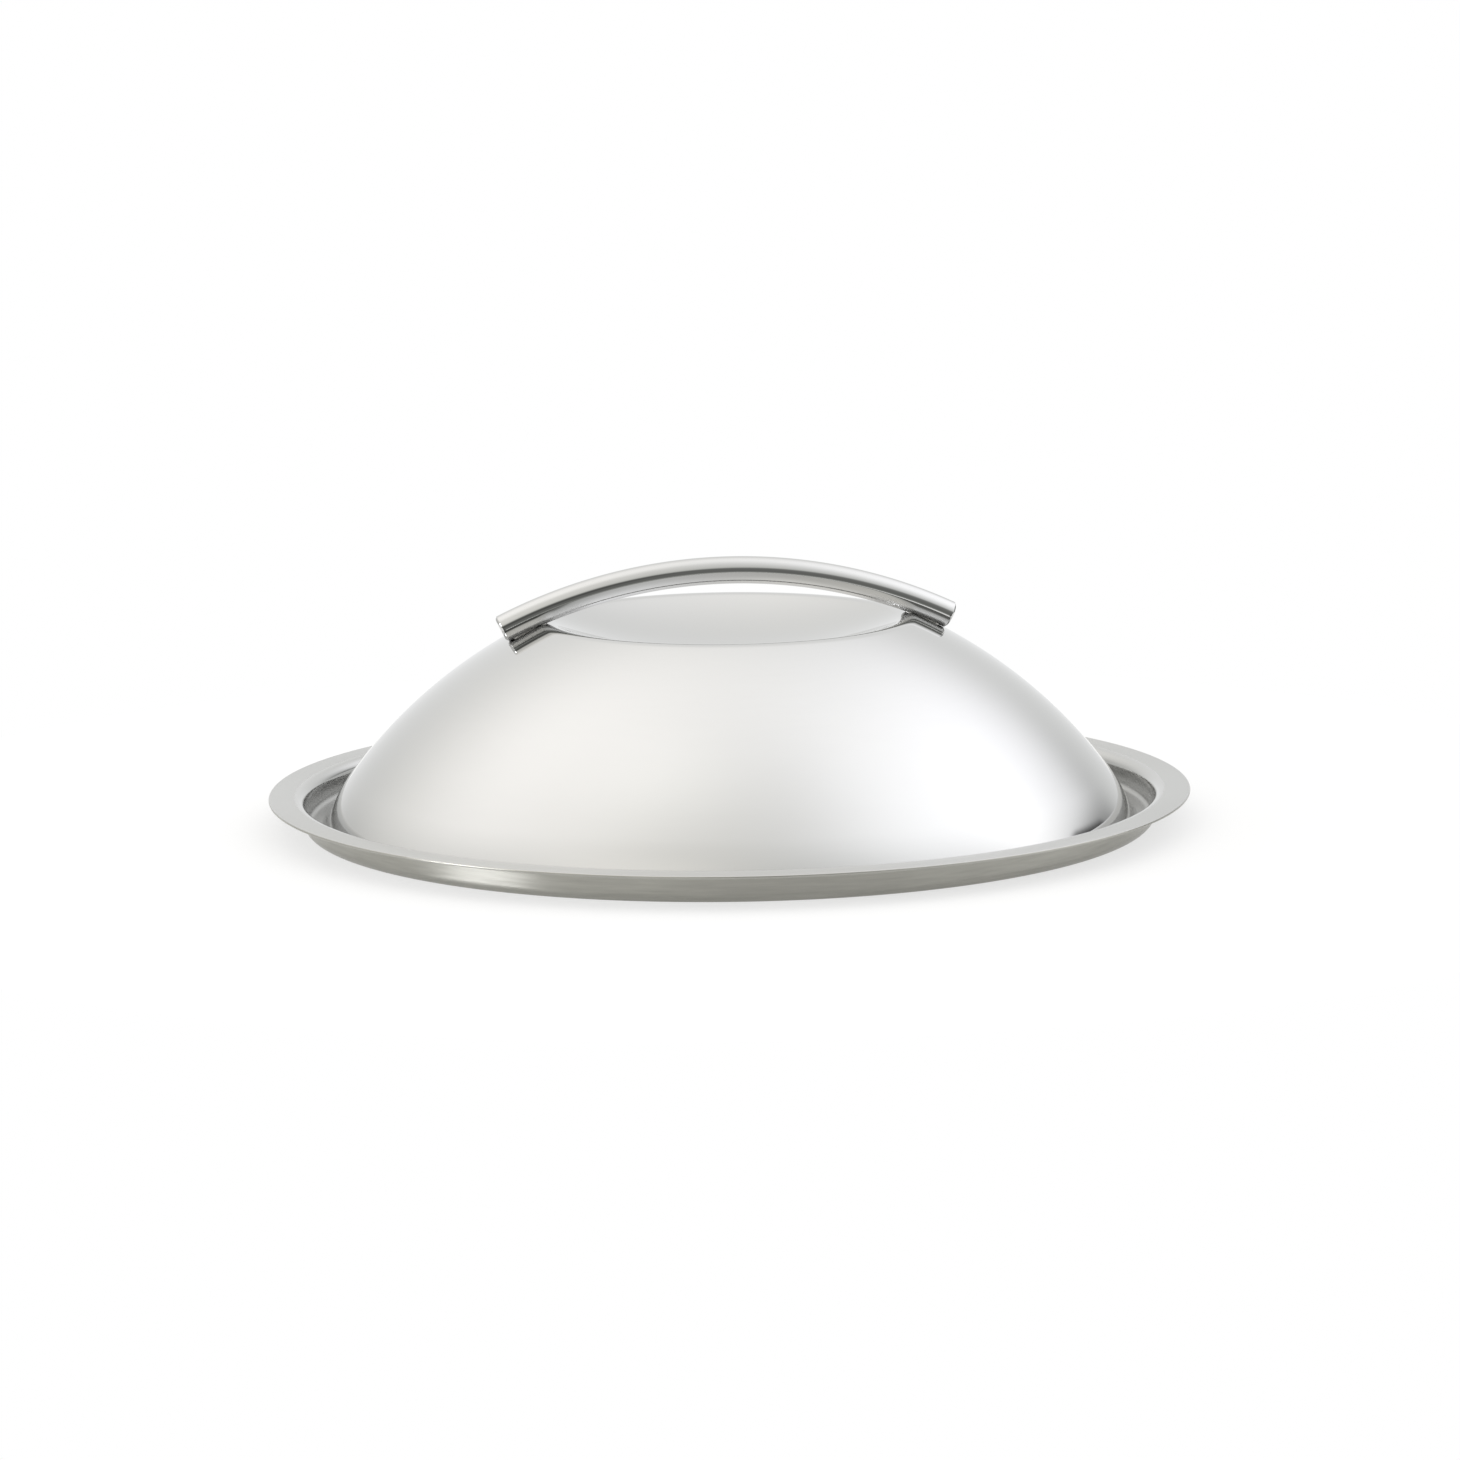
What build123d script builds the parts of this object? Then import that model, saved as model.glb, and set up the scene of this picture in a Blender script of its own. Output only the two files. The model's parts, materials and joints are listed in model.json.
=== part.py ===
from build123d import *
import math
import os

# A domed pan lid: one pressed and polished sheet with a sunken crown, and a bent round rod across the
# crown as its handle, welded where it crosses the crown's fold.
# Millimetres, +Z up, handle along X. The origin is on the lid's axis, level with its lowest point.

# The sheet and its rim: a flat flange rests on the pan's wall, and a plug below it drops into the pan.
sheet = 0.7
plug_diameter = 237.0       # outside of the plug, loose in a 240 mm pan
plug_depth = 8.3            # from the flange's underside down to the lowest point
flange_width = 9.5          # from the plug's outside to the flange's edge
edge_radius = 0.3           # rounding of the flange's cut edge
lip_radius = 3.0            # bend from the flange down into the plug's wall, on the upper face
wall_bend = 1.8             # bend from the plug's wall into the trough's bottom, on the upper face
trough_floor = 2.1          # flat bottom of the trough, between its two bends

# The dome, which rises out of the trough and is rounder in its lowest part, given on its upper face.
foot_bend = 2.2             # bend from the trough's bottom up into the dome
foot_slope = 69.5           # degrees, how steep the dome is where it leaves the trough
skirt_radius = 45.0         # arc of the dome's lowest part
dome_radius = 141.0         # arc of the rest of its section

# The crown: the dome folds over and sinks into a dish, which leaves room for fingers.
crown_diameter = 100.0      # circle along the top of the fold
crown_rise = 47.45          # top of the fold above the flange's upper face
fold_radius = 7.0           # on the upper face
dish_depth = 10.0           # below the top of the fold

# The handle, a solid rod bent to one arc and set down on the fold.
rod_diameter = 7.6
rod_bend_radius = 143.0     # of the rod's centreline
rod_overhang = 13.1         # from the fold's top to the centre of each rod end
rod_end_radius = 1.2        # rounding of the rod's ends
rod_set_down = 0.35         # how far the weld lets the rod's round underside sink into the fold

# The welds, pads of fused metal under the rod, narrower than the rod so that they stay out of sight.
weld_gap = 0.2              # thickness of fused metal between the sheet and the rod
weld_length = 10.4          # along the rod
weld_width = 3.0            # across the rod
weld_offset = 6.5           # from the fold's top out to the middle of the weld

# Heights and radii that follow from the sizes above, as (radius, height) from the axis.
flange_top = plug_depth + sheet
flange_radius = plug_diameter / 2 + flange_width
crown_radius = crown_diameter / 2
crown_top = flange_top + crown_rise

wall_radius = plug_diameter / 2 - sheet
lip_centre = (wall_radius + lip_radius, flange_top - lip_radius)
wall_bend_centre = (wall_radius - wall_bend, sheet + wall_bend)
foot_centre = (wall_radius - wall_bend - trough_floor, sheet + foot_bend)
skirt_to_foot = skirt_radius + foot_bend
skirt_centre = (
    foot_centre[0] - skirt_to_foot * math.sin(math.radians(foot_slope)),
    foot_centre[1] - skirt_to_foot * math.cos(math.radians(foot_slope)),
)
fold_centre = (crown_radius, crown_top - fold_radius)


def heading(start, end):
    """Angle in degrees of the line from one (radius, height) point to another."""
    return math.degrees(math.atan2(end[1] - start[1], end[0] - start[0]))


def dome_arc_centre():
    """Centre of the dome's arc, which runs smoothly into the fold above it and the skirt below it."""
    to_fold = dome_radius - fold_radius
    to_skirt = dome_radius - skirt_radius
    across = math.dist(fold_centre, skirt_centre)
    along = (to_fold**2 - to_skirt**2 + across**2) / (2 * across)
    aside = math.sqrt(to_fold**2 - along**2)
    step_r = (skirt_centre[0] - fold_centre[0]) / across
    step_z = (skirt_centre[1] - fold_centre[1]) / across
    return (
        fold_centre[0] + along * step_r + aside * step_z,
        fold_centre[1] + along * step_z - aside * step_r,
    )


# The dish is a shallow bowl whose arc runs smoothly into the fold.
dish_bottom = crown_top - dish_depth
fold_above_dish = dish_depth - fold_radius
dish_radius = (crown_radius**2 + fold_above_dish**2 - fold_radius**2) / (2 * dish_depth)
dish_centre = (0, dish_bottom + dish_radius)
dome_centre = dome_arc_centre()

dish_end = heading(dish_centre, fold_centre)
fold_end = heading(dome_centre, fold_centre)
dome_end = heading(dome_centre, skirt_centre)
skirt_end = heading(skirt_centre, foot_centre)

# Bends of the sheet from the axis outwards: centre, radius on the upper face, first and last angle,
# and whether the bend's centre is above the sheet, so that the lower face has the larger radius.
bends = [
    (dish_centre, dish_radius, -90, dish_end, True),
    (fold_centre, fold_radius, dish_end + 180, fold_end, False),
    (dome_centre, dome_radius, fold_end, dome_end, False),
    (skirt_centre, skirt_radius, dome_end, skirt_end, False),
    (foot_centre, foot_bend, skirt_end + 180, 270, True),
    (wall_bend_centre, wall_bend, 270, 360, True),
    (lip_centre, lip_radius, 180, 90, False),
]


def sheet_face(depth):
    """Edges of the sheet's section, from the axis to the flange's edge, at a depth below its upper face."""
    edges = []
    for centre, radius, first, last, hollow in bends:
        bend_radius = radius + depth if hollow else radius - depth
        bend = CenterArc(centre, bend_radius, first, last - first)
        if edges and (bend @ 0 - edges[-1] @ 1).length > 1e-6:
            edges.append(Line(edges[-1] @ 1, bend @ 0))
        edges.append(bend)
    edges.append(Line(edges[-1] @ 1, (flange_radius, flange_top - depth)))
    return edges


def spun(edges):
    """Solid made by closing edges into a section and spinning it about the lid's axis."""
    return revolve(Plane.XZ * make_face(edges), Axis.Z)


def lid_shell():
    """The pressed sheet, with both corners of the flange's cut edge rounded."""
    upper = sheet_face(0)
    lower = sheet_face(sheet)
    rim = Line(upper[-1] @ 1, lower[-1] @ 1)
    middle = Line(lower[0] @ 0, upper[0] @ 0)
    section = make_face([*upper, rim, *lower, middle])
    section = fillet(section.vertices().sort_by(Axis.X)[-2:], edge_radius)
    return revolve(Plane.XZ * section, Axis.Z)


def under_sheet(clearance):
    """Everything below the lid's upper face raised by a clearance, to cut what sits on the lid."""
    upper = sheet_face(-clearance)
    floor_edge = Line(upper[-1] @ 1, (flange_radius, 0))
    floor = Line(floor_edge @ 1, (0, 0))
    middle = Line(floor @ 1, upper[0] @ 0)
    return spun([*upper, floor_edge, floor, middle])


# The rod's arc is as high as its underside, sunk by the set-down, sits on the fold.
rod_radius = rod_diameter / 2
fold_reach = rod_bend_radius - rod_radius + rod_set_down - fold_radius
rod_arc_height = fold_centre[1] - math.sqrt(fold_reach**2 - crown_radius**2)
rod_end_angle = math.degrees(math.asin((crown_radius + rod_overhang) / rod_bend_radius))
weld_angle = math.degrees(math.asin((crown_radius + weld_offset) / rod_bend_radius))


def along_rod(angle):
    """Plane across the rod's centreline at an angle from the top of its arc, facing along the rod."""
    lean = math.radians(angle)
    outward = Vector(math.sin(lean), 0, math.cos(lean))
    centre = Vector(0, 0, rod_arc_height) + outward * rod_bend_radius
    return Plane(centre, x_dir=outward, z_dir=(math.cos(lean), 0, -math.sin(lean)))


def handle_rod():
    """The bent rod, with rounded ends, and its underside shaped to the lid with room for the welds."""
    section = along_rod(-rod_end_angle) * Circle(rod_radius)
    bend_axis = Axis((0, 0, rod_arc_height), (0, 1, 0))
    rod = revolve(section, bend_axis, 2 * rod_end_angle)
    end_edges = rod.faces().filter_by(GeomType.PLANE).edges()
    return fillet(end_edges, rod_end_radius) - under_sheet(weld_gap)


def handle_weld(rod, side):
    """The fused metal that fills the space between the rod's underside and the lid, on one side."""
    across = along_rod(side * weld_angle)
    downward = Plane(across.origin, x_dir=across.z_dir, z_dir=-across.x_dir)
    outline = downward * SlotOverall(weld_length, weld_width)
    return extrude(outline, rod_diameter) - rod - under_sheet(0)


shell = lid_shell()
handle = handle_rod()

os.makedirs("parts", exist_ok=True)
export_step(shell, "parts/lid_shell.step")
export_step(handle, "parts/handle_rod.step")
export_step(handle_weld(handle, -1), "parts/handle_weld_left.step")
export_step(handle_weld(handle, 1), "parts/handle_weld_right.step")
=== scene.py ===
import bpy
import json
import math
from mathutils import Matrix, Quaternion, Vector


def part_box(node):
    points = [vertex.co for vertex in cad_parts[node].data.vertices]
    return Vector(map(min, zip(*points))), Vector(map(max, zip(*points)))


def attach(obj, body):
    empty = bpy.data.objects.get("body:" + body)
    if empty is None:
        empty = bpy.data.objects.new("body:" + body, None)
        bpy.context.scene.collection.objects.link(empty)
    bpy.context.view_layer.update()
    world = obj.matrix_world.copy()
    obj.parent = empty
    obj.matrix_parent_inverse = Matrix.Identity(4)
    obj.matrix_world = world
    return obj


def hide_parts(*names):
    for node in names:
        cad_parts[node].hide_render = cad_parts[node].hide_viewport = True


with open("model.json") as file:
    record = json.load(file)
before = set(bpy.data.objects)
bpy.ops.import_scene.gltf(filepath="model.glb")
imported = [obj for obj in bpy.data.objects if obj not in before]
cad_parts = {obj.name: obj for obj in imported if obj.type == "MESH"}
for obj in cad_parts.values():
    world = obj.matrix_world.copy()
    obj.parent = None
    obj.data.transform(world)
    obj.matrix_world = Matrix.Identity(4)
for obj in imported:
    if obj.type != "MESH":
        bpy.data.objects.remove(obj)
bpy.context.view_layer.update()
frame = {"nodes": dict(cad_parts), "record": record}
print("frame loaded:", sorted(frame["nodes"]))


# Shader maths as plain expressions: a Wire is one socket in a node tree.
class Wire:
    def __init__(self, tree, socket=None):
        self.tree = tree
        self.socket = socket

    def node(self, kind, settings=None, out=0, **sockets):
        # at0, at1 and so on name a socket by its number
        made = self.tree.nodes.new(kind)
        for name, value in (settings or {}).items():
            setattr(made, name, value)
        for name, value in sockets.items():
            key = int(name[2:]) if name.startswith("at") else name.replace("_", " ")
            if isinstance(value, Wire):
                self.tree.links.new(value.socket, made.inputs[key])
            else:
                made.inputs[key].default_value = value
        return Wire(self.tree, made.outputs[out] if made.outputs else None)

    def sums(self, operation, first, second):
        return self.node("ShaderNodeMath", {"operation": operation}, at0=first, at1=second)

    def __add__(self, other):
        return self.sums("ADD", self, other)

    def __radd__(self, other):
        return self.sums("ADD", other, self)

    def __sub__(self, other):
        return self.sums("SUBTRACT", self, other)

    def __rsub__(self, other):
        return self.sums("SUBTRACT", other, self)

    def __mul__(self, other):
        return self.sums("MULTIPLY", self, other)

    def __rmul__(self, other):
        return self.sums("MULTIPLY", other, self)

    def __pow__(self, other):
        return self.sums("POWER", self, other)

    def __rpow__(self, other):
        return self.sums("POWER", other, self)


# Modelling helpers
mergeGap = 0.000002  # metres, points nearer than this become one


def mm(size):
    return size / 1000


def deselectAll():
    for item in list(bpy.context.selected_objects):
        item.select_set(False)


def onePoint(name, place):
    # a small plane merged to one point, the start of a drawn line
    deselectAll()
    bpy.ops.mesh.primitive_plane_add(size=mm(1), location=(0, 0, 0))
    piece = bpy.context.object
    piece.name = name
    piece.data.name = name
    bpy.ops.object.mode_set(mode="EDIT")
    bpy.ops.mesh.merge(type="CENTER")
    bpy.ops.transform.translate(value=place)
    return piece


def drawLine(across, up):
    # carries the line's end straight on
    bpy.ops.mesh.extrude_region_move(TRANSFORM_OT_translate={"value": (mm(across), 0, mm(up))})


def bendLine(centre, first, last, faces):
    # carries the line's end round a bend, by angles from the radius towards up
    bpy.ops.mesh.spin(steps=faces, angle=last - first, center=(mm(centre[0]), 0, mm(centre[1])),
                      axis=(0, 1, 0))


def pickRim(piece, reach):
    # selects the points past the given reach, and with them all edges of the cut rim
    bpy.ops.object.mode_set(mode="EDIT")
    bpy.ops.mesh.select_mode(type="VERT")
    bpy.ops.mesh.select_all(action="DESELECT")
    bpy.ops.object.mode_set(mode="OBJECT")
    for point in piece.data.vertices:
        point.select = math.hypot(point.co.x, point.co.y) > reach
    bpy.ops.object.mode_set(mode="EDIT")


def applyModifier(piece, kind, **settings):
    modifier = piece.modifiers.new(kind.lower(), kind)
    for name, value in settings.items():
        setattr(modifier, name, value)
    bpy.ops.object.modifier_apply(modifier=modifier.name)


# Camera at the photograph's place, to the left of the handle's front
cameraPlace = {
    "sensor": 36,           # mm
    "lens": 117.12,         # mm
    "back": 1.3037,         # metres from the lid's axis
    "height": 0.2462,       # metres above the floor
    "roundToLeft": 7.87,    # degrees round the lid
    "tiltDown": 9.64,
    "turnRight": 0.017,
    "roll": -0.706,
}


def addCamera(place):
    heading = Quaternion((0, 0, 1), math.radians(-place["roundToLeft"]))
    aim = Quaternion((0, 0, 1), math.radians(-place["turnRight"]))
    tilt = Quaternion((1, 0, 0), math.radians(90 - place["tiltDown"]))
    roll = Quaternion((0, 0, 1), math.radians(place["roll"]))
    bpy.ops.object.camera_add()
    camera = bpy.context.object
    camera.name = "camera"
    camera.data.lens = place["lens"]
    camera.data.sensor_width = place["sensor"]
    camera.data.clip_start = 0.01
    camera.data.clip_end = 100
    camera.rotation_mode = "QUATERNION"
    camera.location = heading @ Vector((0, -place["back"], place["height"]))
    camera.rotation_quaternion = heading @ aim @ tilt @ roll
    bpy.context.scene.camera = camera


addCamera(cameraPlace)
bpy.context.scene.view_settings.view_transform = "Standard"
print("camera placed")

# Studio: a white room with large soft lights, a bright strip low at the left, and dark patches at the
# camera's end and low at both sides. Places are (azimuth, height) in degrees, with azimuths clockwise from
# straight behind the lid as the camera sees it. Spread is where a light or a patch falls to half, a higher
# edge makes it end more sharply, and one with a second end is drawn out from the first to it.
studio = {
    "room": (0.42, 0.43, 0.405),
    "lights": [
        {"colour": (0.92, 0.92, 0.97), "at": (92, 46), "spread": 34},
        {"colour": (0.42, 0.415, 0.455), "at": (46, 35), "spread": 18},
        {"colour": (0.99, 0.955, 0.945), "at": (-73, 57), "spread": 40},
        {"colour": (0.59, 0.59, 0.57), "at": (-138, 69), "spread": 15},
        {"colour": (0.3, 0.295, 0.295), "at": (75, 29), "spread": 13},
        {"colour": (0.65, 0.63, 0.59), "at": (-151, 44), "spread": 23},
        {"colour": (0.42, 0.42, 0.45), "at": (-2, -10), "spread": 32},
        {"colour": (0.5, 0.5, 0.51), "at": (84, 8), "spread": 11},
        {"colour": (8.6, 8.7, 9.1), "at": (-116, 6), "to": (-108, 6), "spread": 9, "edge": 3},
    ],
    "darkPatches": [
        {"share": 0.66, "at": (174, 7.5), "to": (147, 7.5), "spread": 17, "edge": 3},
        {"share": 0.5, "at": (178, 17), "spread": 10, "edge": 2},
        {"share": 0.46, "at": (-149, 61), "spread": 25},
        {"share": 0.9, "at": (53, -6), "spread": 17, "edge": 2},
        {"share": 0.9, "at": (49, 5), "to": (61, 10), "spread": 5, "edge": 3},
        {"share": 0.16, "at": (38, 10), "spread": 8},
        {"share": 0.23, "at": (-41, -6), "spread": 14},
    ],
    "steps": 6,             # from a first end to a second
}


def directionTo(azimuth, height):
    turn = math.radians(azimuth + cameraPlace["roundToLeft"])
    rise = math.radians(height)
    return (math.sin(turn) * math.cos(rise), math.cos(turn) * math.cos(rise), math.sin(rise))


def softLobe(toward, lobe):
    # 1 along the middle, 0.5 at the spread's angle from it, smooth to nothing
    ends = Vector(lobe["at"]), Vector(lobe.get("to", lobe["at"]))
    steps = studio["steps"] if "to" in lobe else 0
    facing = -1
    for step in range(steps + 1):
        middle = directionTo(*ends[0].lerp(ends[1], step / max(steps, 1)))
        near = toward.node("ShaderNodeVectorMath", {"operation": "DOT_PRODUCT"}, "Value",
                           at0=toward, at1=middle)
        facing = toward.sums("MAXIMUM", near, facing)
    off = (1 - facing) * (1 / (1 - math.cos(math.radians(lobe["spread"]))))
    return 2 ** (0 - off ** lobe.get("edge", 1))


def lightStudio(settings):
    world = bpy.data.worlds.new("studio")
    bpy.context.scene.world = world
    world.use_nodes = True
    world.node_tree.nodes.clear()
    start = Wire(world.node_tree)
    toward = start.node("ShaderNodeTexCoord", out="Generated")
    unshaded = 1
    for patch in settings["darkPatches"]:
        unshaded = (1 - patch["share"] * softLobe(toward, patch)) * unshaded
    light = start.node("ShaderNodeBackground", Color=(*settings["room"], 1), Strength=unshaded)
    for lobe in settings["lights"]:
        glow = softLobe(toward, lobe) * unshaded
        shine = start.node("ShaderNodeBackground", Color=(*lobe["colour"], 1), Strength=glow)
        light = start.node("ShaderNodeAddShader", at0=light, at1=shine)
    seen = start.node("ShaderNodeLightPath", out="Is Camera Ray")
    white = start.node("ShaderNodeBackground", Color=(1, 1, 1, 1), Strength=1.0)
    both = start.node("ShaderNodeMixShader", Fac=seen, at1=light, at2=white)
    start.node("ShaderNodeOutputWorld", Surface=both)


lightStudio(studio)
print("studio lit")

# A round white table under the lid. The share of its own white that the camera and the metal see keeps the
# lid's shadow light.
tableTop = {
    "radius": 0.27,
    "sides": 180,
    "drop": 0.00002,        # metres below the lid, so that the two don't flicker
    "colour": (0.93, 0.93, 0.925),
    "ownWhite": 0.45,
    "cameraWhite": 0.2,     # on top of that, to the camera alone
}


def addTable(settings):
    deselectAll()
    bpy.ops.mesh.primitive_circle_add(vertices=settings["sides"], radius=settings["radius"],
                                      fill_type="NGON", location=(0, 0, -settings["drop"]))
    table = bpy.context.object
    table.name = "tableTop"
    material = bpy.data.materials.new("paperWhite")
    material.use_nodes = True
    material.node_tree.nodes.clear()
    start = Wire(material.node_tree)
    camera = start.node("ShaderNodeLightPath", out="Is Camera Ray")
    glossy = start.node("ShaderNodeLightPath", out="Is Glossy Ray")
    clear = start.node("ShaderNodeLightPath", out="Is Transmission Ray")
    share = settings["ownWhite"] * (camera + glossy + clear) + settings["cameraWhite"] * camera
    shaded = start.node("ShaderNodeBsdfDiffuse", Color=(*settings["colour"], 1))
    white = start.node("ShaderNodeEmission", Color=(1, 1, 1, 1), Strength=1.0)
    surface = start.node("ShaderNodeMixShader", Fac=share, at1=shaded, at2=white)
    start.node("ShaderNodeOutputMaterial", Surface=surface)
    table.data.materials.append(material)


addTable(tableTop)
print("table laid")


# Steel finishes. A finish's roughness changes with its marks, from its smoothest share upwards.
def steelMaterial(name):
    material = bpy.data.materials.new(name)
    material.use_nodes = True
    material.node_tree.nodes.clear()
    return material, Wire(material.node_tree)


def tinted(start, colour, amount, value):
    # colour brought darker or lighter by a small amount
    low = tuple(level * (1 - amount) for level in colour)
    high = tuple(min(level * (1 + amount), 1) for level in colour)
    return start.node("ShaderNodeMix", {"data_type": "RGBA"}, 2, Factor=value,
                      at6=(*low, 1), at7=(*high, 1))


# What the lathe left on the sheet: fine rings, long strokes round the lid and faint clouds
lathe = {
    "strokesPerM": 70,
    "strokeTurn": 0.25,     # of a turn, from the way the shader's sheen runs by itself
    "cloudsPerM": 22.0,
    "ringHeight": 0.0001,   # metres
    "smoothest": 0.8,
    "fromRings": 0.25,
    "fromClouds": 0.15,
}
mirrorFinish = {"colour": (0.66, 0.66, 0.655), "roughness": 0.05, "anisotropic": 0.0,
                "ringsPerMm": 3.0, "ringDepth": 0.0, "unevenness": 0.01}
# the trough's floor, bends and wall are darker in colour than the dome's steel
troughFinish = {"colour": (0.46, 0.46, 0.45), "roughness": 0.25, "anisotropic": 0.0,
                "ringsPerMm": 3.0, "ringDepth": 0.0, "unevenness": 0.02}
lipFinish = {"colour": (0.6, 0.6, 0.59), "roughness": 0.1, "anisotropic": 0.0,
             "ringsPerMm": 3.0, "ringDepth": 0.0, "unevenness": 0.02}
satinFinish = {"colour": (0.6, 0.6, 0.588), "roughness": 0.36, "anisotropic": 0.8,
               "ringsPerMm": 3.0, "ringDepth": 0.12, "unevenness": 0.04}
# the plug's colour is darker than its brushed steel alone: painted shade of the shadowed floor that it
# reflects under the flange
plugShadedFinish = {"colour": (0.405, 0.4, 0.366), "roughness": 0.32, "anisotropic": 0.85,
              "ringsPerMm": 1.1, "ringDepth": 0.3, "unevenness": 0.22}
insideFinish = {"colour": (0.62, 0.615, 0.605), "roughness": 0.24, "anisotropic": 0.6,
                "ringsPerMm": 3.0, "ringDepth": 0.08, "unevenness": 0.03}


def ringPlace(start, place, ringsPerMm):
    # fine across the strokes, by the distance from the axis and the height, and long round the lid
    across = start.node("ShaderNodeVectorMath", {"operation": "MULTIPLY"}, at0=place, at1=(1000, 1000, 0))
    radius = start.node("ShaderNodeVectorMath", {"operation": "LENGTH"}, "Value", at0=across)
    height = start.node("ShaderNodeSeparateXYZ", out="Z", Vector=place) * 1000
    along = start.node("ShaderNodeSeparateXYZ", out="X", Vector=place) * lathe["strokesPerM"]
    aside = start.node("ShaderNodeSeparateXYZ", out="Y", Vector=place) * lathe["strokesPerM"]
    return start.node("ShaderNodeCombineXYZ", X=along, Y=aside, Z=(radius + height) * ringsPerMm)


def lathedSteel(name, finish):
    material, start = steelMaterial(name)
    place = start.node("ShaderNodeTexCoord", out="Object")
    ringPoint = ringPlace(start, place, finish["ringsPerMm"])
    rings = start.node("ShaderNodeTexNoise", {"noise_dimensions": "3D"}, "Fac", Vector=ringPoint,
                       Scale=1.0, Detail=3.0, Roughness=0.6)
    clouds = start.node("ShaderNodeTexNoise", {"noise_dimensions": "3D"}, "Fac", Vector=place,
                        Scale=lathe["cloudsPerM"], Detail=2.0, Roughness=0.5)
    colour = tinted(start, finish["colour"], finish["unevenness"], rings)
    marks = lathe["smoothest"] + lathe["fromRings"] * rings + lathe["fromClouds"] * clouds
    bump = start.node("ShaderNodeBump", out="Normal", Strength=finish["ringDepth"],
                      Distance=lathe["ringHeight"], Height=rings)
    surface = start.node("ShaderNodeBsdfPrincipled", Base_Color=colour, Metallic=1.0,
                         Roughness=finish["roughness"] * marks, Normal=bump,
                         Anisotropic=finish["anisotropic"], Anisotropic_Rotation=lathe["strokeTurn"])
    start.node("ShaderNodeOutputMaterial", Surface=surface)
    return material


mirrorSteel = lathedSteel("mirrorSteel", mirrorFinish)
satinSteel = lathedSteel("satinSteel", satinFinish)
troughSteel = lathedSteel("troughSteel", troughFinish)
lipSteel = lathedSteel("lipSteel", lipFinish)
plugSteel = lathedSteel("plugSteel", plugShadedFinish)
insideSteel = lathedSteel("insideSteel", insideFinish)
print("sheet finishes made")

# The lid's sheet, drawn as one line of bends on its upper face and spun about the lid's axis, in mm
mounts = {mount["name"]: mount for mount in frame["record"]["mounts"]}
lidSheet = {
    "thickness": 0.7,
    "plugRadius": mounts["plug"]["dims"]["r_mm"],
    "flangeUnderside": mounts["rim_seat"]["pos_m"][2] * 1000,
    "flangeRadius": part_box("lid_shell")[1].x * 1000,
    "crownTop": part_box("lid_shell")[1].z * 1000,
    "lipBend": 3.0,
    "wallBend": 1.8,
    "troughFloor": 2.1,
    "footBend": 2.2,
    "footSlope": 69.5,      # degrees, where the dome leaves the trough
    "skirtRadius": 45.0,    # the dome's lowest part
    "domeRadius": 141.0,
    "crownRadius": 50.0,
    "foldRadius": 7.0,
    "dishDepth": 10.0,
    "edgeRound": 0.3,       # both corners of the flange's cut edge
    "edgeFaces": 4,
    "rimBand": 0.05,        # points this near the flange's radius are on its cut edge
    "brightCorner": 0.6,    # of the upper corner, what faces up by more than this shines like the lip
    "smoothAngle": 35,      # degrees
    "faces": {"dish": 26, "fold": 22, "dome": 40, "skirt": 16, "foot": 12, "wall": 14, "lip": 10},
    "turns": 288,           # faces round the lid
}


def headingOf(start, end):
    return math.atan2(end[1] - start[1], end[0] - start[0])


def domeMiddle(fold, skirt, toFold, toSkirt):
    # where the circles round the fold's and the skirt's centres meet, on the side below the dome
    across = math.dist(fold, skirt)
    along = (toFold**2 - toSkirt**2 + across**2) / (2 * across)
    aside = math.sqrt(toFold**2 - along**2)
    stepR = (skirt[0] - fold[0]) / across
    stepZ = (skirt[1] - fold[1]) / across
    return (fold[0] + along * stepR + aside * stepZ, fold[1] + along * stepZ - aside * stepR)


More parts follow.
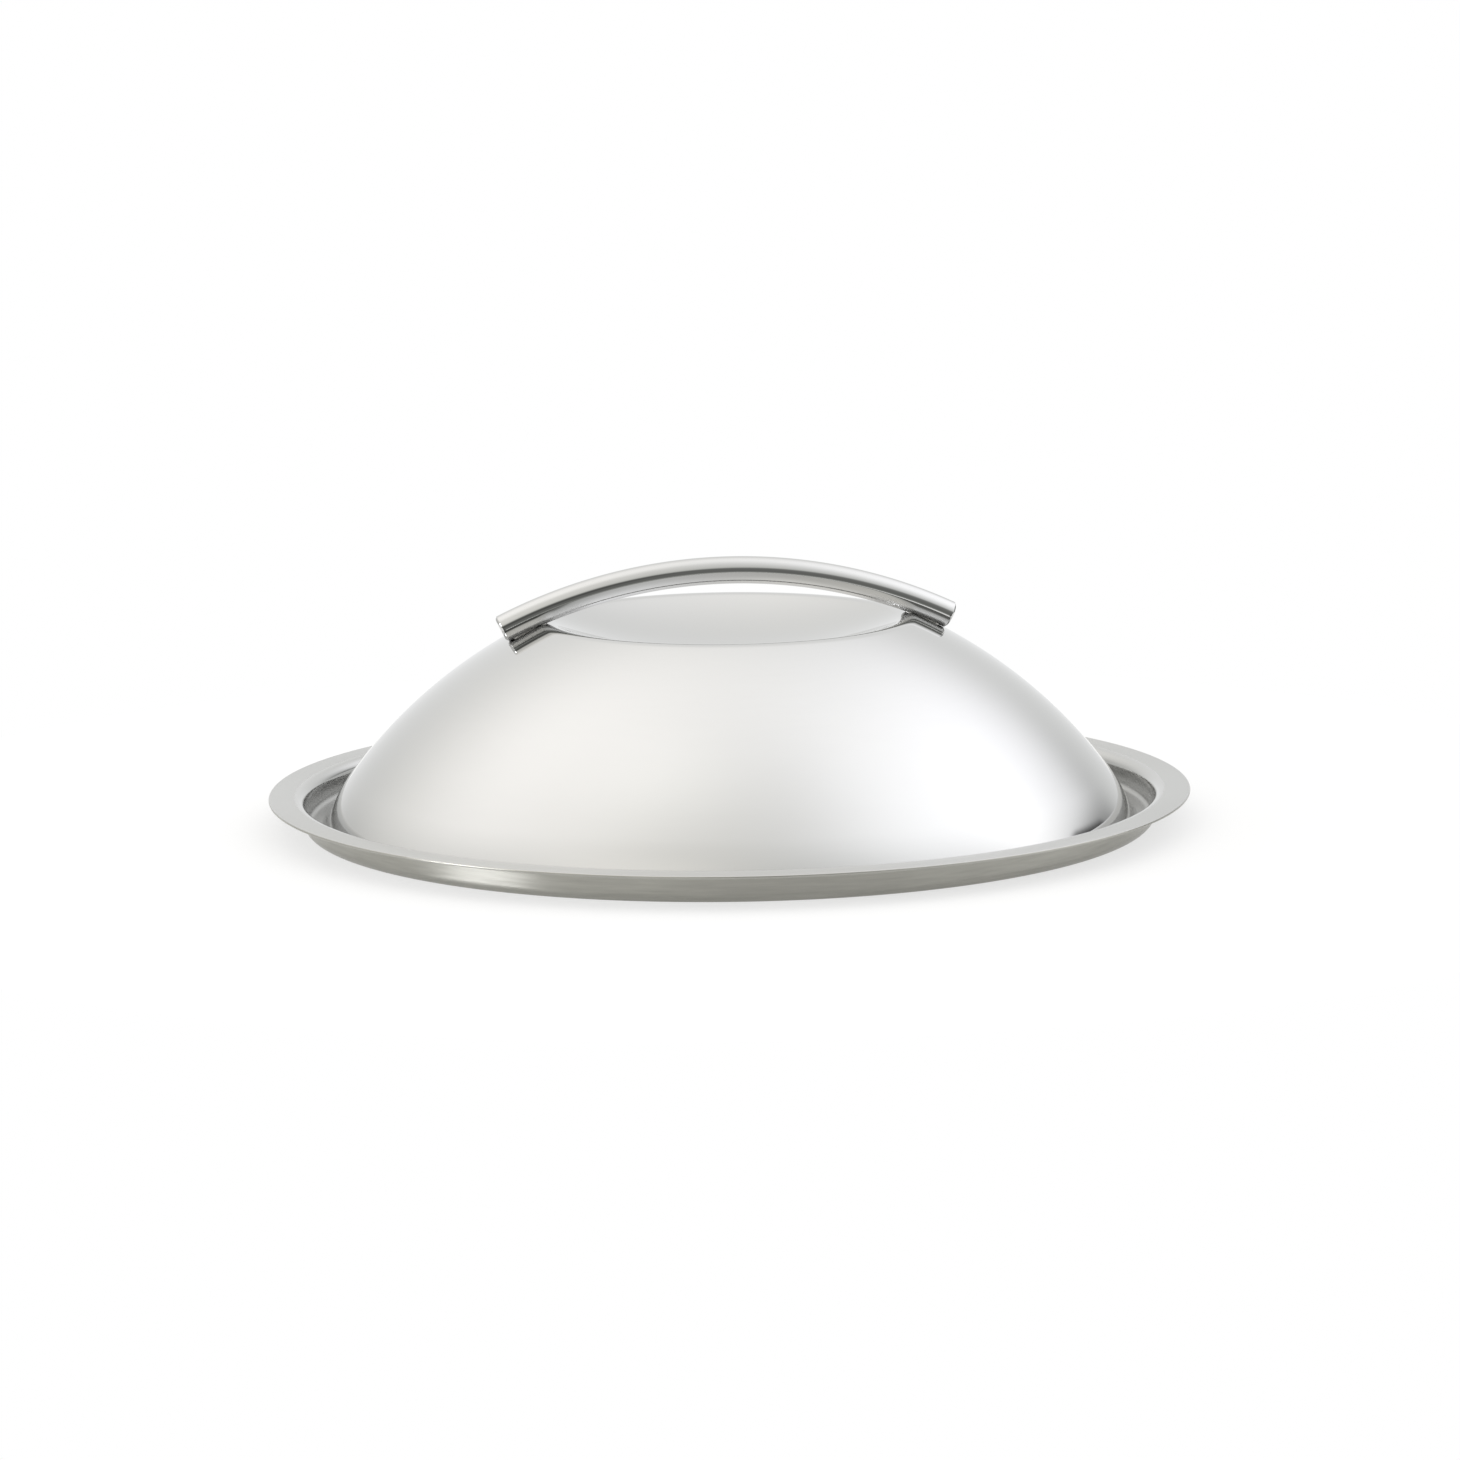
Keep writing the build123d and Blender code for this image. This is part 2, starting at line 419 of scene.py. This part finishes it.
def makeLid(sheet):
    # centres of the bends, as (radius, height)
    flangeTop = sheet["flangeUnderside"] + sheet["thickness"]
    wallRadius = sheet["plugRadius"] - sheet["thickness"]
    lip = (wallRadius + sheet["lipBend"], flangeTop - sheet["lipBend"])
    wall = (wallRadius - sheet["wallBend"], sheet["thickness"] + sheet["wallBend"])
    foot = (wall[0] - sheet["troughFloor"], sheet["thickness"] + sheet["footBend"])
    steep = math.radians(sheet["footSlope"])
    apart = sheet["skirtRadius"] + sheet["footBend"]
    skirt = (foot[0] - apart * math.sin(steep), foot[1] - apart * math.cos(steep))
    fold = (sheet["crownRadius"], sheet["crownTop"] - sheet["foldRadius"])
    depth = sheet["dishDepth"]
    rise = depth - sheet["foldRadius"]
    dishRadius = (sheet["crownRadius"]**2 + rise**2 - sheet["foldRadius"]**2) / (2 * depth)
    dishBottom = sheet["crownTop"] - depth
    dish = (0, dishBottom + dishRadius)
    dome = domeMiddle(fold, skirt, sheet["domeRadius"] - sheet["foldRadius"],
                      sheet["domeRadius"] - sheet["skirtRadius"])
    dishEnd = headingOf(dish, fold)
    foldEnd = headingOf(dome, fold)
    domeEnd = headingOf(dome, skirt)
    skirtEnd = headingOf(skirt, foot)
    halfTurn = math.pi
    faces = sheet["faces"]

    lid = onePoint("lidSheet", (0, 0, mm(dishBottom)))
    bendLine(dish, -halfTurn / 2, dishEnd, faces["dish"])
    bendLine(fold, dishEnd + halfTurn, foldEnd, faces["fold"])
    bendLine(dome, foldEnd, domeEnd, faces["dome"])
    bendLine(skirt, domeEnd, skirtEnd, faces["skirt"])
    bendLine(foot, skirtEnd + halfTurn, 3 * halfTurn / 2, faces["foot"])
    drawLine(sheet["troughFloor"], 0)
    bendLine(wall, 3 * halfTurn / 2, 2 * halfTurn, faces["wall"])
    drawLine(0, lip[1] - wall[1])
    bendLine(lip, halfTurn, halfTurn / 2, faces["lip"])
    drawLine(sheet["flangeRadius"] - lip[0], 0)
    bpy.ops.mesh.select_all(action="SELECT")
    bpy.ops.mesh.spin(steps=sheet["turns"], angle=2 * halfTurn, center=(0, 0, 0), axis=(0, 0, 1))
    bpy.ops.mesh.select_all(action="SELECT")
    bpy.ops.mesh.remove_doubles(threshold=mergeGap)
    bpy.ops.mesh.normals_make_consistent(inside=False)
    bpy.ops.object.mode_set(mode="OBJECT")

    # slots of the upper face from the dome outwards, then those of the lower face in the same order
    upperFinishes = (mirrorSteel, troughSteel, lipSteel, satinSteel)
    lowerFinishes = (insideSteel, plugSteel, plugSteel, satinSteel)
    finishes = upperFinishes + lowerFinishes
    lipSlot = finishes.index(lipSteel)
    toCutEdge = finishes.index(plugSteel) - finishes.index(satinSteel)  # the cut edge takes the plug's steel with its painted shade
    for finish in finishes:
        lid.data.materials.append(finish)
    for face in lid.data.polygons:
        reach = math.hypot(face.center.x, face.center.y) * 1000
        onLip = reach > wall[0] and face.center.z > mm(lip[1])
        face.material_index = (reach > foot[0] - sheet["footBend"]) + onLip + (reach > lip[0])
    applyModifier(lid, "SOLIDIFY", thickness=mm(sheet["thickness"]), offset=-1, use_even_offset=True,
                  use_quality_normals=True, material_offset=len(upperFinishes), material_offset_rim=toCutEdge)

    # round the cut edge, and let its upper corner shine
    pickRim(lid, mm(sheet["flangeRadius"] - sheet["rimBand"]))
    bpy.ops.mesh.bevel(offset=mm(sheet["edgeRound"]), segments=sheet["edgeFaces"], profile=0.5)
    bpy.ops.object.mode_set(mode="OBJECT")
    for face in lid.data.polygons:
        reach = math.hypot(face.center.x, face.center.y)
        onCorner = reach > mm(sheet["flangeRadius"] - sheet["edgeRound"])
        if onCorner and face.normal.z > sheet["brightCorner"]:
            face.material_index = lipSlot
    bpy.ops.object.shade_smooth_by_angle(angle=math.radians(sheet["smoothAngle"]))
    return lid


lidPiece = makeLid(lidSheet)
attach(lidPiece, "root")
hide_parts("lid_shell")
print("lid sheet spun:", len(lidPiece.data.polygons), "faces")

# The handle rod: a circle carried round one arc, with rounded ends, in mm
handleRod = {
    "radius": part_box("handle_rod")[1].y * 1000,
    "top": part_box("handle_rod")[1].z * 1000,
    "bendRadius": 143.0,
    "halfChord": 63.1,      # from the lid's axis to the centre of an end
    "endRound": 1.2,
    "endFaces": 6,
    "sides": 128,
    "steps": 200,
    "smoothAngle": 40,      # degrees
}
rodFinish = {
    "colour": (0.636, 0.636, 0.63),
    "roughness": 0.04,
    "unevenness": 0.03,
    "linesPerM": (60, 2600, 2600),
    "smoothest": 0.75,
    "fromLines": 0.5,
    "dullRoughness": 0.4,   # underneath at both ends, from the heat of the welds
    "dullAlong": (36, 42),  # mm from the lid's axis, where it begins and where it is full
    "dullBelow": (0.2, 0.8),  # shares of the rod's radius below its middle, the same way
}


def makeRod(rod):
    middle = rod["top"] - rod["radius"] - rod["bendRadius"]
    lean = math.asin(rod["halfChord"] / rod["bendRadius"])
    deselectAll()
    bpy.ops.mesh.primitive_circle_add(vertices=rod["sides"], radius=mm(rod["radius"]),
                                      location=(0, 0, mm(middle + rod["bendRadius"])),
                                      rotation=(0, math.pi / 2, 0))
    piece = bpy.context.object
    piece.name = "handleRod"
    piece.data.name = "handleRod"
    bpy.ops.object.transform_apply(location=True, rotation=True, scale=True)
    bpy.ops.object.mode_set(mode="EDIT")
    bpy.ops.mesh.select_all(action="SELECT")
    bpy.ops.transform.rotate(value=lean, orient_axis="Y", center_override=(0, 0, mm(middle)))
    bpy.ops.mesh.spin(steps=rod["steps"], angle=-2 * lean, center=(0, 0, mm(middle)), axis=(0, 1, 0))
    # close both ends and turn all faces outwards
    bpy.ops.mesh.select_all(action="SELECT")
    bpy.ops.mesh.remove_doubles(threshold=mergeGap)
    bpy.ops.mesh.select_mode(type="EDGE")
    bpy.ops.mesh.select_all(action="DESELECT")
    bpy.ops.mesh.select_non_manifold(use_wire=False, use_multi_face=False, use_non_contiguous=False,
                                     use_verts=False)
    bpy.ops.mesh.fill_holes(sides=0)
    bpy.ops.mesh.select_all(action="SELECT")
    bpy.ops.mesh.normals_make_consistent(inside=False)
    # round the ends, only now because the step above turns a rod with rounded ends inside out
    bpy.ops.mesh.select_all(action="DESELECT")
    bpy.ops.mesh.select_face_by_sides(number=rod["sides"], type="EQUAL", extend=False)
    bpy.ops.mesh.bevel(offset=mm(rod["endRound"]), segments=rod["endFaces"], profile=0.5)
    bpy.ops.object.mode_set(mode="OBJECT")
    bpy.ops.object.shade_smooth_by_angle(angle=math.radians(rod["smoothAngle"]))
    return piece


def dullEnds(start, place, finish, rod):
    # 1 on the rod's underside near its ends, 0 elsewhere
    bendMiddle = (0, 0, mm(rod["top"] - rod["radius"] - rod["bendRadius"]))
    fromMiddle = start.node("ShaderNodeVectorMath", {"operation": "SUBTRACT"}, at0=place, at1=bendMiddle)
    inBend = start.node("ShaderNodeVectorMath", {"operation": "MULTIPLY"}, at0=fromMiddle, at1=(1, 0, 1))
    reach = start.node("ShaderNodeVectorMath", {"operation": "LENGTH"}, "Value", at0=inBend)
    begins, full = (mm(rod["bendRadius"] - share * rod["radius"]) for share in finish["dullBelow"])
    below = start.node("ShaderNodeMapRange", Value=reach, From_Min=begins, From_Max=full)
    sideways = start.node("ShaderNodeSeparateXYZ", out="X", Vector=place)
    outward = start.sums("ABSOLUTE", sideways, 0)
    begins, full = (mm(distance) for distance in finish["dullAlong"])
    atEnds = start.node("ShaderNodeMapRange", Value=outward, From_Min=begins, From_Max=full)
    return below * atEnds


def rodSteel(name, finish, rod):
    material, start = steelMaterial(name)
    place = start.node("ShaderNodeTexCoord", out="Object")
    drawn = start.node("ShaderNodeVectorMath", {"operation": "MULTIPLY"}, at0=place, at1=finish["linesPerM"])
    lines = start.node("ShaderNodeTexNoise", out="Fac", Vector=drawn, Scale=1.0, Detail=2.0, Roughness=0.5)
    colour = tinted(start, finish["colour"], finish["unevenness"], lines)
    polished = finish["roughness"] * (finish["smoothest"] + finish["fromLines"] * lines)
    roughness = polished + finish["dullRoughness"] * dullEnds(start, place, finish, rod)
    surface = start.node("ShaderNodeBsdfPrincipled", Base_Color=colour, Metallic=1.0, Roughness=roughness)
    start.node("ShaderNodeOutputMaterial", Surface=surface)
    return material


rodPiece = makeRod(handleRod)
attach(rodPiece, "root")
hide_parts("handle_rod")
rodPiece.data.materials.append(rodSteel("drawnSteel", rodFinish, handleRod))
print("handle rod bent:", len(rodPiece.data.polygons), "faces")

# The welds keep their CAD shape, in fused metal
weldFinish = {
    "colour": (0.6, 0.59, 0.57),
    "roughness": 0.42,
    "unevenness": 0.2,
    "beadsPerM": 900.0,
    "beadDepth": 0.3,
    "beadHeight": 0.0002,   # metres
    "smoothest": 0.7,
    "fromBeads": 0.6,
}


def weldSteel(name, finish):
    material, start = steelMaterial(name)
    place = start.node("ShaderNodeTexCoord", out="Object")
    beads = start.node("ShaderNodeTexNoise", out="Fac", Vector=place, Scale=finish["beadsPerM"],
                       Detail=3.0, Roughness=0.6)
    colour = tinted(start, finish["colour"], finish["unevenness"], beads)
    roughness = finish["roughness"] * (finish["smoothest"] + finish["fromBeads"] * beads)
    bump = start.node("ShaderNodeBump", out="Normal", Strength=finish["beadDepth"],
                      Distance=finish["beadHeight"], Height=beads)
    surface = start.node("ShaderNodeBsdfPrincipled", Base_Color=colour, Metallic=1.0, Roughness=roughness,
                         Normal=bump)
    start.node("ShaderNodeOutputMaterial", Surface=surface)
    return material


fusedSteel = weldSteel("fusedSteel", weldFinish)
for node in ("handle_weld_left", "handle_weld_right"):
    weld = frame["nodes"][node]
    weld.data.materials.clear()
    weld.data.materials.append(fusedSteel)
print("welds finished")
